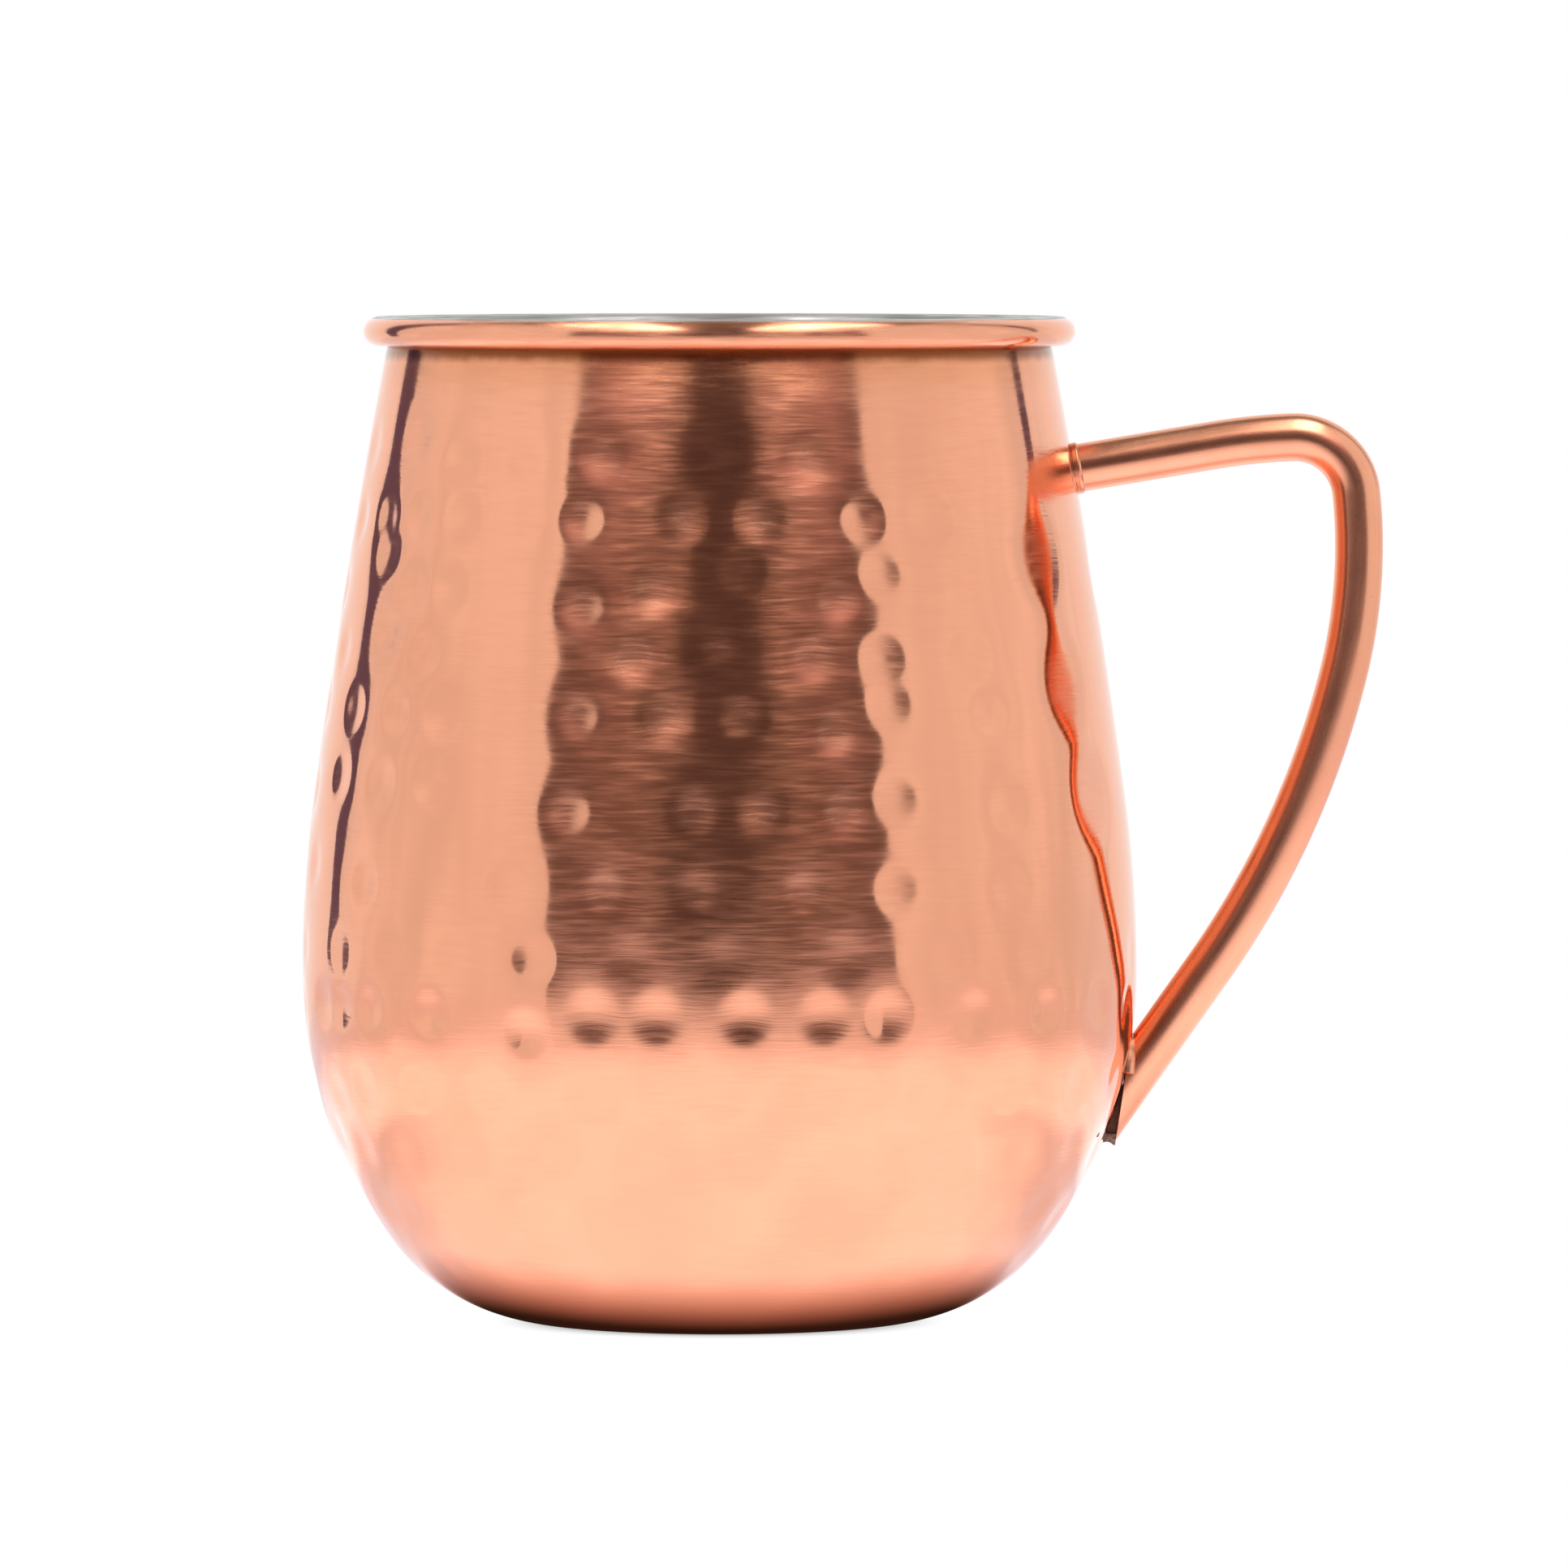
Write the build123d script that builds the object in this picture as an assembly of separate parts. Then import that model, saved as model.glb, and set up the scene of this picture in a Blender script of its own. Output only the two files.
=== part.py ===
from build123d import *
import os
from math import asin, atan2, cos, degrees, radians, sin, sqrt

# A pear-shaped copper mug with a steel lining, a rolled rim and a welded tube handle.
# Millimetres, +Z up. The origin is the middle of the flat base, on the surface that the mug
# stands on. The handle points along +X.

# Outer face of the body: tangent arcs from the flat base up to the neck.
belly_radius = 43.55
belly_height = 36.5
corner_arc = 22.1
lower_arc = 46.2
upper_arc = 141.0
upper_turn = 7.8
shoulder_arc = 870.0
neck_lean = 10.908
flare_arc = 3.0
flare_turn = 20.0

# Sheet metal.
copper_thickness = 0.45
lining_thickness = 0.20
lining_gap = 0.04

# Rolled rim: the copper edge curls outwards round a wire, and the lining ends on its crest.
bead_radius = 1.46
wire_gap = 0.03
curl_end = -134.0
lip_end = 70.0
lip_end_gap = 2.0

# Handle: one bent tube, as straight runs and tangent arcs (radius, turn) in the XZ plane.
tube_radius = 2.5
tube_wall = 0.8
handle_start = (36.0, 88.95)
handle_rise = 9.5
top_run = 15.9
handle_arcs = [(63.0, 7.4), (6.45, 86.2), (55.0, 19.9), (92.0, 21.1)]
lower_run = 24.0

# Slanting cut of the handle's lower end, from the crotch down to the tip.
cut_top = (42.85, 29.3)
cut_tip = (41.3, 18.5)

# Welds and the gap that keeps each joined pair of solids apart.
joint_gap = 0.02
upper_weld_leg = 0.75
upper_weld_root = 0.5
lower_weld_radius = 0.95
lower_weld_spread = 66.0
braze_width = 2.4
braze_height = 1.2
braze_hollow = 0.9
braze_root_width = 1.3
braze_root_top = 24.8


def polar(center, radius, angle):
    """The point at this radius and angle, in degrees, from a centre."""
    return (
        center[0] + radius * cos(radians(angle)),
        center[1] + radius * sin(radians(angle)),
    )


def angle_from(center, point):
    """The direction of a point from a centre, in degrees."""
    return degrees(atan2(point[1] - center[1], point[0] - center[0]))


# Centres and joints of the body's arcs, as (radius from the axis, height).
lower_center = (belly_radius - lower_arc, belly_height)
upper_center = (belly_radius - upper_arc, belly_height)
base_radius = lower_center[0] + sqrt(
    (lower_arc - corner_arc) ** 2 - (belly_height - corner_arc) ** 2
)
corner_center = (base_radius, corner_arc)
corner_angle = angle_from(lower_center, corner_center)
shoulder_center = polar(upper_center, upper_arc - shoulder_arc, upper_turn)
flare_center = polar(shoulder_center, shoulder_arc + flare_arc, neck_lean)
flare_angle = 180.0 - flare_turn

# Centre of the rolled rim, and the larger, shifted arc of the lining's lip. The lip's arc
# starts in line with the lining on the flare and meets the bead's circle at lip_end.
curl_inner = bead_radius - copper_thickness
curl_center = polar(flare_center, flare_arc - curl_inner, flare_angle)
wall_thickness = copper_thickness + lining_gap + lining_thickness
lining_start = curl_inner + wall_thickness
lip_shift = (lining_start**2 - bead_radius**2) / (
    2 * (lining_start - bead_radius * cos(radians(flare_angle - lip_end)))
)
lip_radius = lining_start - lip_shift
lip_center = polar(curl_center, lip_shift, flare_angle)
lip_angle = angle_from(lip_center, polar(curl_center, bead_radius, lip_end))


def arc(center, radius, start, end):
    """An arc about a centre, between two angles in degrees."""
    return CenterArc(center, radius, start, end - start)


def wall_path(depth):
    """The body's outline at a depth under its outer face, from the axis to the flare's end."""
    return [
        Line((0, depth), (base_radius, depth)),
        arc(corner_center, corner_arc - depth, -90.0, corner_angle),
        arc(lower_center, lower_arc - depth, corner_angle, 0.0),
        arc(upper_center, upper_arc - depth, 0.0, upper_turn),
        arc(shoulder_center, shoulder_arc - depth, upper_turn, neck_lean),
        arc(flare_center, flare_arc + depth, 180.0 + neck_lean, flare_angle),
    ]


def turned(edges):
    """The solid made by turning a closed outline round the mug's axis."""
    return revolve(Plane.XZ * make_face(edges), Axis.Z)


def outer_shell():
    """The copper cup with its edge curled round the wire, cut back under the lining's lip."""
    rebate_radius = lip_radius - lining_thickness - lining_gap
    rebate_angle = lip_angle - lip_end_gap
    rebate_end = polar(lip_center, rebate_radius, rebate_angle)
    bead_start = lip_end - lip_end_gap
    curl = [
        arc(curl_center, curl_inner, flare_angle, curl_end),
        Line(
            polar(curl_center, curl_inner, curl_end),
            polar(curl_center, bead_radius, curl_end),
        ),
        arc(curl_center, bead_radius, curl_end, bead_start),
        Line(polar(curl_center, bead_radius, bead_start), rebate_end),
        arc(lip_center, rebate_radius, rebate_angle, flare_angle),
    ]
    axis_line = Line((0, 0), (0, copper_thickness))
    return turned(wall_path(0) + curl + wall_path(copper_thickness) + [axis_line])


def inner_liner():
    """The steel lining, from the base up over the rim's crest."""
    hidden_depth = copper_thickness + lining_gap
    hidden_radius = lip_radius - lining_thickness
    lip = [
        arc(lip_center, hidden_radius, flare_angle, lip_angle),
        Line(
            polar(lip_center, hidden_radius, lip_angle),
            polar(lip_center, lip_radius, lip_angle),
        ),
        arc(lip_center, lip_radius, lip_angle, flare_angle),
    ]
    axis_line = Line((0, hidden_depth), (0, wall_thickness))
    return turned(wall_path(hidden_depth) + lip + wall_path(wall_thickness) + [axis_line])


def rim_wire():
    """The wire inside the rolled rim."""
    section = Pos(*curl_center) * Circle(curl_inner - wire_gap)
    return revolve(Plane.XZ * section, Axis.Z)


def body_room():
    """The space inside the body's outer face, with the joint gap round it."""
    top = polar(flare_center, flare_arc - joint_gap, flare_angle)
    edges = wall_path(-joint_gap) + [
        Line(top, (0, top[1])),
        Line((0, top[1]), (0, -joint_gap)),
    ]
    return turned(edges)


def handle_path():
    """The tube's centreline, from inside the upper joint to past the slanting cut."""
    start = Vector(*handle_start)
    heading = Vector(1, 0).rotate(Axis.Z, handle_rise)
    edges = [Line(start, start + heading * top_run)]
    for radius, turn in handle_arcs:
        edges.append(JernArc(edges[-1] @ 1, edges[-1] % 1, radius, -turn))
    end = edges[-1] @ 1
    edges.append(Line(end, end + (edges[-1] % 1) * lower_run))
    return Plane.XZ * Wire(edges)


def rod(path, radius):
    """A round bar that follows the path."""
    start = Plane(origin=path @ 0, z_dir=path % 0)
    return sweep(start * Circle(radius), path=path)


def cut_plane():
    """The plane of the handle's lower cut. It faces the wall, and its x axis points up."""
    top = Vector(cut_top[0], 0, cut_top[1])
    tip = Vector(cut_tip[0], 0, cut_tip[1])
    up = (top - tip).normalized()
    return Plane(origin=(top + tip) / 2, x_dir=up, z_dir=up.cross(Vector(0, 1, 0)))


def beyond_cut():
    """Everything on the wall's side of the handle's lower cut."""
    size = 4 * lower_run
    return cut_plane() * Box(
        size, size, size, align=(Align.CENTER, Align.CENTER, Align.MIN)
    )


def lower_side():
    """The half of space that holds the handle's lower joint."""
    size = 200.0
    return Pos(0, 0, belly_height) * Box(
        size, size, size, align=(Align.CENTER, Align.CENTER, Align.MAX)
    )


def full_handle(radius):
    """A solid bar in the handle's place, cut to the wall at both ends."""
    bar = rod(handle_path(), radius)
    return bar - body_room() - (beyond_cut() & lower_side())


def handle_tube():
    """The hollow handle: coped against the wall above and cut on a slant below."""
    return full_handle(tube_radius) - rod(handle_path(), tube_radius - tube_wall)


def handle_weld_upper():
    """The hollow fillet of weld round the tube where it meets the wall."""
    path = handle_path()
    along = path % 0
    wall_distance = (body_radius_at(handle_start[1]) - handle_start[0]) / along.X
    frame = Plane(origin=path @ 0 + along * wall_distance, x_dir=(0, 1, 0), z_dir=along)
    inner = tube_radius + joint_gap
    outer = tube_radius + upper_weld_leg
    profile = [
        Line((inner, -upper_weld_root), (outer, -upper_weld_root)),
        Line((outer, -upper_weld_root), (outer, 0)),
        ThreePointArc(
            (outer, 0),
            (inner + 0.3 * upper_weld_leg, 0.3 * upper_weld_leg),
            (inner, upper_weld_leg),
        ),
        Line((inner, upper_weld_leg), (inner, -upper_weld_root)),
    ]
    ring = revolve(Plane.XZ * make_face(profile), Axis.Z)
    return frame * ring - body_room()


def body_radius_at(height):
    """The body's outer radius at a height on its upper wall."""
    lean = asin((height - shoulder_center[1]) / shoulder_arc)
    return shoulder_center[0] + shoulder_arc * cos(lean)


def handle_weld_lower():
    """The weld bead over the crotch, along the upper part of the slanting cut."""
    plane = cut_plane()
    half_length = (Vector(*cut_top) - Vector(*cut_tip)).length / 2
    seam = plane * EllipticalCenterArc(
        (0, 0), half_length, tube_radius, -lower_weld_spread, arc_size=2 * lower_weld_spread
    )
    start = Plane(origin=seam @ 0, z_dir=seam % 0)
    bead = sweep(start * Circle(lower_weld_radius), path=seam)
    return bead - full_handle(tube_radius + joint_gap) - body_room()


def handle_tip_braze():
    """The bridge of braze at the handle's tip, hollow underneath, and its thin root above.

    The root closes the wedge between the slanting cut and the wall, set back from the sides."""
    reach = 4 * braze_hollow
    root_height = braze_root_top - cut_tip[1]
    block = Pos(cut_tip[0], 0, cut_tip[1] + braze_height / 2) * Box(
        reach, braze_width, braze_height
    )
    block += Pos(cut_tip[0], 0, cut_tip[1] + root_height / 2) * Box(
        reach, braze_root_width, root_height
    )
    hollow_center = (cut_tip[0] - braze_hollow, cut_tip[1] - 0.6 * braze_hollow)
    hollow = Pos(hollow_center[0], 0, hollow_center[1]) * Rot(90, 0, 0) * Cylinder(
        braze_hollow, 2 * braze_width
    )
    side = block & beyond_cut()
    return side - hollow - body_room()


parts = {
    "outer_shell": outer_shell,
    "inner_liner": inner_liner,
    "rim_wire": rim_wire,
    "handle_tube": handle_tube,
    "handle_weld_upper": handle_weld_upper,
    "handle_weld_lower": handle_weld_lower,
    "handle_tip_braze": handle_tip_braze,
}

os.makedirs("parts", exist_ok=True)
for name, make in parts.items():
    export_step(make(), f"parts/{name}.step")
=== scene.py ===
from math import atan2, cos, degrees, hypot, pi, radians, sin, sqrt

import bpy
import numpy as np
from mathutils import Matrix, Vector


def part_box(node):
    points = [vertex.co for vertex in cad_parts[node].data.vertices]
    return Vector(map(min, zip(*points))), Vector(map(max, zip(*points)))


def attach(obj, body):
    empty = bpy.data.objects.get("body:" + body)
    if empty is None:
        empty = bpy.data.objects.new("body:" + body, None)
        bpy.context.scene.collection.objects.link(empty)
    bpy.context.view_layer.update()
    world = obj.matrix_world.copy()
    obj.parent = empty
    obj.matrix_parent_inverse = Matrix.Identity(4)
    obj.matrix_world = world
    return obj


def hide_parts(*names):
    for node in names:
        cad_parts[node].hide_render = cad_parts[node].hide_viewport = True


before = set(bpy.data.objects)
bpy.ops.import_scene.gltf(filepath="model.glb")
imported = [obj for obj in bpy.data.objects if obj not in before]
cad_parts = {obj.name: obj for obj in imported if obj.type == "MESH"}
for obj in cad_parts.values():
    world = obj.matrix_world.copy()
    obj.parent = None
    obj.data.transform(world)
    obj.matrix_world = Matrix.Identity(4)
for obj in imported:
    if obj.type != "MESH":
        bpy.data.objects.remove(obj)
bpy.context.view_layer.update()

# A hammered copper mug. Metres and degrees, in the CAD's frame: the origin is the middle of
# the base, +Z is up and the handle points along +X.

MM = 0.001
SEED = 7

# ---------------------------------------------------------------- shape of the body
# The body's outline is the CAD's: tangent arcs from the flat base up to the neck, then a
# small flare, the rolled rim, and the lining's lip on its crest.

BELLY_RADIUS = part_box("outer_shell")[1].y
BELLY_HEIGHT = 36.5 * MM
CORNER_ARC = 22.1 * MM
LOWER_ARC = 46.2 * MM
UPPER_ARC = 141.0 * MM
UPPER_TURN = 7.8
SHOULDER_ARC = 870.0 * MM
NECK_LEAN = 10.908
FLARE_ARC = 3.0 * MM
FLARE_TURN = 20.0

COPPER = 0.45 * MM
LINING = 0.20 * MM
LINING_GAP = 0.04 * MM
WALL = COPPER + LINING_GAP + LINING

BEAD_RADIUS = 1.46 * MM
CURL_END = -134.0
LIP_END = 70.0
LIP_END_GAP = 2.0
LIP_ROUNDING = 0.05 * MM
LIP_TURN = 3.0

SEGMENTS = 672
BASE_RINGS = 14
WALL_STEP = 0.5 * MM
HIDDEN_STEP = 1.4 * MM
RIM_STEP = 0.15 * MM


def polar(center, radius, angle):
    """The point at this radius and angle from a centre."""
    return (
        center[0] + radius * cos(radians(angle)),
        center[1] + radius * sin(radians(angle)),
    )


def angle_from(center, point):
    """The direction of a point from a centre."""
    return degrees(atan2(point[1] - center[1], point[0] - center[0]))


lower_center = (BELLY_RADIUS - LOWER_ARC, BELLY_HEIGHT)
upper_center = (BELLY_RADIUS - UPPER_ARC, BELLY_HEIGHT)
base_radius = lower_center[0] + sqrt(
    (LOWER_ARC - CORNER_ARC) ** 2 - (BELLY_HEIGHT - CORNER_ARC) ** 2
)
corner_center = (base_radius, CORNER_ARC)
corner_angle = angle_from(lower_center, corner_center)
shoulder_center = polar(upper_center, UPPER_ARC - SHOULDER_ARC, UPPER_TURN)
flare_center = polar(shoulder_center, SHOULDER_ARC + FLARE_ARC, NECK_LEAN)
flare_angle = 180.0 - FLARE_TURN

curl_inner = BEAD_RADIUS - COPPER
curl_center = polar(flare_center, FLARE_ARC - curl_inner, flare_angle)
lining_start = curl_inner + WALL
lip_shift = (lining_start**2 - BEAD_RADIUS**2) / (
    2 * (lining_start - BEAD_RADIUS * cos(radians(flare_angle - LIP_END)))
)
lip_radius = lining_start - lip_shift
lip_center = polar(curl_center, lip_shift, flare_angle)
lip_angle = angle_from(lip_center, polar(curl_center, BEAD_RADIUS, LIP_END))


def arc(center, radius, start, end, step):
    """Points along an arc, both ends included, as (distance from the axis, height)."""
    count = max(2, int(abs(radians(end - start)) * radius / step) + 1)
    turns = np.radians(np.linspace(start, end, count + 1))
    return np.stack(
        [center[0] + radius * np.cos(turns), center[1] + radius * np.sin(turns)], 1
    )


def wall_path(depth, step=WALL_STEP):
    """The body's outline at a depth under its outer face, from the axis to the flare's end."""
    base = np.linspace(0, base_radius, BASE_RINGS)
    base = np.stack([base, np.full(BASE_RINGS, float(depth))], 1)
    stretches = [
        arc(corner_center, CORNER_ARC - depth, -90.0, corner_angle, step),
        arc(lower_center, LOWER_ARC - depth, corner_angle, 0.0, step),
        arc(upper_center, UPPER_ARC - depth, 0.0, UPPER_TURN, step),
        arc(shoulder_center, SHOULDER_ARC - depth, UPPER_TURN, NECK_LEAN, step),
        arc(flare_center, FLARE_ARC + depth, 180.0 + NECK_LEAN, flare_angle, RIM_STEP),
    ]
    return np.concatenate([base] + [stretch[1:] for stretch in stretches])


def body_radius(height):
    """The body's outer radius at a height between the corner arc and the neck."""
    if height < corner_center[1] + CORNER_ARC * sin(radians(corner_angle)):
        return corner_center[0] + sqrt(CORNER_ARC**2 - (height - CORNER_ARC) ** 2)
    if height < BELLY_HEIGHT:
        return lower_center[0] + sqrt(LOWER_ARC**2 - (height - BELLY_HEIGHT) ** 2)
    if height < upper_center[1] + UPPER_ARC * sin(radians(UPPER_TURN)):
        return upper_center[0] + sqrt(UPPER_ARC**2 - (height - BELLY_HEIGHT) ** 2)
    return shoulder_center[0] + sqrt(
        SHOULDER_ARC**2 - (height - shoulder_center[1]) ** 2
    )


# ---------------------------------------------------------------- hammer marks
# Each row is (height in mm, depth in mm, marks). A mark is its direction in degrees, where 0
# faces the front and 90 faces the handle, or (direction, lift) where it is struck higher or
# lower than its row, in mm, or (direction, lift, share) where its core is also struck lighter
# or harder. The front is listed, and the rest of the turn follows with the same pitch and a
# little unevenness. Each mark is a core within a wider, shallower skirt.

DENT_RADIUS = 3.2 * MM
SKIRT_RADIUS = 5.6 * MM
SKIRT_SHARE = 0.55
FULL_DENT = 0.26 * MM
HAMMERED_TOP = 96 * MM

# Unevenness: of a mark's size and depth, of its place along the row, and of its height in mm.
FORCE_SPREAD = (0.92, 1.08)
PITCH_SPREAD = (-0.2, 0.2)
LIFT_SPREAD = (-1.6, 1.6)
LAST_PITCH = 0.6

DENT_ROWS = [
    (90.3, 0.17, [(-58, 2.4), -46, -33, (-18.4, 0.6), (0, 0.4, 0.3), 14, (44, 0, 0.3)]),
    (84.6, 0.20, [-65, -55, -44, (-31, 0, 0.3), -21.5, (-5.4, 0, 0.65), (6.6, 0, 0.65),
                  (23, 0, 0.8), 35, 50]),
    (77.4, 0.20, [(-62.6, 3.3), -54, -45, (-20.5, -1.6), -9.6, (3, 2.0, 0.5), (17.8, -0.8),
                  (25.6, 1.5, 0.65), 42, (51, 0, 0.3)]),
    (70.6, 0.20, [(-59, 2.1), -49, -12.4, (0, 0.8, 0.5), 14, (24.8, 0, 0.65), 40, (51, 0, 0.3)]),
    (64.7, 0.20, [-67, -54, -44, -20.3, -7.8, (3.6, 0, 0.6), (16.8, -1.7),
                  (25.6, 0.9, 0.65), 43, (52, 1.0, 0.3)]),
    (55.0, 0.20, [(-69, 2.7), (-56, 2.3), (-45, 2.9), -21.2, (-3.1, 0, 0.8),
                  (6.2, 0, 0.7), 17.6, (25.6, 1.2, 0.65), 45, (55, 0.6, 0.3)]),
    (46.9, 0.18, [-58, -30, -15.5, (-2.8, 0, 0.8), 11.5, (25.2, 0.2, 0.5), 44, (62, 0, 0.2)]),
    (39.9, 0.10, [-64, -51, -39, (-26, 0, 1.8), -11.7, 0.8, 17.4, 33, 48, (64, 0, 0.2)]),
    (34.2, 0.24, [-64, -56, -43, (-27, -1.8), -17.2, -8.3, 3.7, 14.5, 23.3, 37, 51, (65, 0, 0.6)]),
    (26.0, 0.14, [-60, -47, -33, -18, 0, 15, 30, 45, 61]),
    (19.2, 0.15, [-66, -52, -39, -25, -11, 5, 20, 36, 50, 65]),
    (12.9, 0.13, [-60, -44, -29, -14, 2, 17, 33, 48, 62]),
    (7.6, 0.06, [-56, -38, -20, -2, 16, 35, 54]),
]

# Broad shallow blows beside the handle, which leave the wall almost flat: (direction, height
# in mm, depth in mm). No other mark is struck within this turn and rise of them.
FLAT_RADIUS = 6.5 * MM
HANDLE_FLATS = [(58.8, 80.8, 0.27), (61.8, 67.2, 0.30), (66.2, 55.6, 0.30)]
FLAT_TURN = 18.0
FLAT_RISE = 9.0


def by_a_flat(direction, height):
    """Whether a mark would spoil one of the flats beside the handle."""
    return any(
        abs(direction - turn) < FLAT_TURN and abs(height - level) < FLAT_RISE
        for turn, level, _ in HANDLE_FLATS
    )


def hammer_marks():
    """Every mark as (direction in radians, height, radius, depth, depth of its skirt)."""
    rng = np.random.default_rng(SEED)
    marks = []
    for height, depth, front in DENT_ROWS:
        struck = [mark if isinstance(mark, tuple) else (mark,) for mark in front]
        struck = [mark + (0.0, 1.0)[len(mark) - 1:] for mark in struck]
        pitch = (struck[-1][0] - struck[0][0]) / (len(struck) - 1)
        direction = struck[-1][0] + pitch
        while direction < struck[0][0] + 360.0 - LAST_PITCH * pitch:
            unevenness = rng.uniform(*PITCH_SPREAD) * pitch
            struck.append((direction + unevenness, rng.uniform(*LIFT_SPREAD), 1.0))
            direction += pitch
        for direction, lift, share in struck:
            size = DENT_RADIUS * rng.uniform(*FORCE_SPREAD)
            strength = depth * MM * rng.uniform(*FORCE_SPREAD)
            if by_a_flat(direction, height + lift):
                continue
            place = (radians(direction - 90.0), (height + lift) * MM)
            marks.append((*place, size, share * strength, SKIRT_SHARE * strength))
    for direction, height, depth in HANDLE_FLATS:
        place = (radians(direction - 90.0), height * MM)
        marks.append((*place, FLAT_RADIUS, depth * MM, 0.0))
    return marks


# The wall is left smooth round the handle's joints: (height, reach across, reach up or down).
HANDLE_JOINTS = [
    (89.4 * MM, 23.0 * MM, 8.0 * MM),
    (28.5 * MM, 8.0 * MM, 8.0 * MM),
]


def by_a_joint(center):
    """Whether a point of the wall is too close to one of the handle's joints to be struck."""
    if center.x < 0:
        return False
    return any(
        hypot(center.y / across, (center.z - height) / up) < 1
        for height, across, up in HANDLE_JOINTS
    )


# The wall's radius changes within a mark, so columns are looked at a little past its reach.
SIDE_MARGIN = 1.4


def dent_depths(radius, height, turns):
    """How far the metal is pushed in, on a grid of rows (radius, height) by directions."""
    depths = np.zeros((len(radius), len(turns)))
    spans = np.hypot(np.diff(radius), np.diff(height))
    along = np.concatenate([[0], np.cumsum(spans)])
    wall = (radius > base_radius) & (height < HAMMERED_TOP)
    for turn, level, size, depth, skirt in hammer_marks():
        center = Vector((cos(turn), sin(turn), 0)) * body_radius(level)
        center.z = level
        if by_a_joint(center):
            continue
        place = np.interp(level, height[wall], along[wall])
        for reach, push in ((size, depth), (SKIRT_RADIUS, skirt)):
            rows = np.where(wall & (np.abs(along - place) < reach))[0]
            if not len(rows):
                continue
            gap = (turns - turn + pi) % (2 * pi) - pi
            columns = np.where(np.abs(gap) * body_radius(level) < SIDE_MARGIN * reach)[0]
            across = gap[None, columns] * radius[rows, None]
            up = (along[rows] - place)[:, None]
            share = np.clip(1 - (across**2 + up**2) / reach**2, 0, 1)
            depths[np.ix_(rows, columns)] += push * share**2
    return depths


# ---------------------------------------------------------------- meshes

SHARP_ANGLE = 38.0


def new_object(name, points, faces):
    """A smooth-shaded mesh object, with sharp edges kept sharp."""
    mesh = bpy.data.meshes.new(name)
    mesh.from_pydata(points, [], faces)
    mesh.validate()
    piece = bpy.data.objects.new(name, mesh)
    bpy.context.scene.collection.objects.link(piece)
    mesh.shade_smooth()
    mesh.set_sharp_from_angle(angle=radians(SHARP_ANGLE))
    return piece


def ring_faces(rows, columns, wrap_rows):
    """Quads of a grid that closes round its columns, and round its rows if wrap_rows."""
    index = np.arange(rows * columns).reshape(rows, columns)
    below = index if wrap_rows else index[:-1]
    above = np.roll(index, -1, 0) if wrap_rows else index[1:]
    quads = np.stack([below, np.roll(below, -1, 1), np.roll(above, -1, 1), above], -1)
    return quads.reshape(-1, 4).tolist()


def turned_piece(name, section, outward, dents):
    """A solid of revolution from a section that starts and ends on the axis.

    outward holds each section point's push direction, and dents how far it is pushed in. The
    mesh carries how deeply each point is hammered, from nought to one."""
    turns = np.arange(SEGMENTS) * 2 * pi / SEGMENTS
    inner = section[1:-1]
    push = -dents[1:-1]
    r = inner[:, 0, None] + push * outward[1:-1, 0, None]
    z = inner[:, 1, None] + push * outward[1:-1, 1, None]
    x, y = r * np.cos(turns), r * np.sin(turns)
    points = np.stack([x, y, np.broadcast_to(z, x.shape)], -1).reshape(-1, 3)
    rows = len(inner)
    first, last = len(points), len(points) + 1
    ends = [[0, 0, section[0, 1]], [0, 0, section[-1, 1]]]
    points = np.concatenate([points, ends])
    faces = ring_faces(rows, SEGMENTS, False)
    top = (rows - 1) * SEGMENTS
    for i in range(SEGMENTS):
        j = (i + 1) % SEGMENTS
        faces.append([first, j, i])
        faces.append([last, top + i, top + j])
    piece = new_object(name, points.tolist(), faces)
    hammered = np.append(np.clip(dents[1:-1] / FULL_DENT, 0, 1).ravel(), [0, 0])
    mark = piece.data.attributes.new("hammered", "FLOAT", "POINT")
    mark.data.foreach_set("value", hammered)
    return piece


def wall_normals(path):
    """The outward direction at each point of a wall path, square to the path."""
    along = np.gradient(path, axis=0)
    along /= np.linalg.norm(along, axis=1, keepdims=True)
    return np.stack([along[:, 1], -along[:, 0]], 1)


def wall_dents(depth, turns, step):
    """The dent depths for wall_path(depth), taken on the outer face."""
    path = wall_path(depth, step)
    outward = wall_normals(path)
    outer = path + outward * depth
    return path, outward, dent_depths(outer[:, 0], outer[:, 1], turns)


def sleeve(name, outer_depth, inner_depth, rim_section, outer_step, inner_step):
    """A cup between two depths, joined over the top by the rim's section."""
    turns = np.arange(SEGMENTS) * 2 * pi / SEGMENTS
    path_a, normal_a, dents_a = wall_dents(outer_depth, turns, outer_step)
    path_b, normal_b, dents_b = wall_dents(inner_depth, turns, inner_step)
    section = np.concatenate([path_a, rim_section, path_b[::-1]])
    outward = np.concatenate([normal_a, np.zeros_like(rim_section), normal_b[::-1]])
    flat = np.zeros((len(rim_section), SEGMENTS))
    dents = np.concatenate([dents_a, flat, dents_b[::-1]])
    return turned_piece(name, section, outward, dents)


def hammered_shell():
    """The copper cup, hammered all over, with its edge curled outwards into the rim."""
    rebate_radius = lip_radius - LINING - LINING_GAP
    rebate_angle = lip_angle - LIP_END_GAP
    curl = [
        arc(curl_center, curl_inner, flare_angle, CURL_END, RIM_STEP)[1:],
        arc(curl_center, BEAD_RADIUS, CURL_END, LIP_END - LIP_END_GAP, RIM_STEP),
        arc(lip_center, rebate_radius, rebate_angle, flare_angle, RIM_STEP)[:-1],
    ]
    rim = np.concatenate(curl)
    return sleeve("hammered_shell", 0.0, COPPER, rim, WALL_STEP, HIDDEN_STEP)


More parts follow.
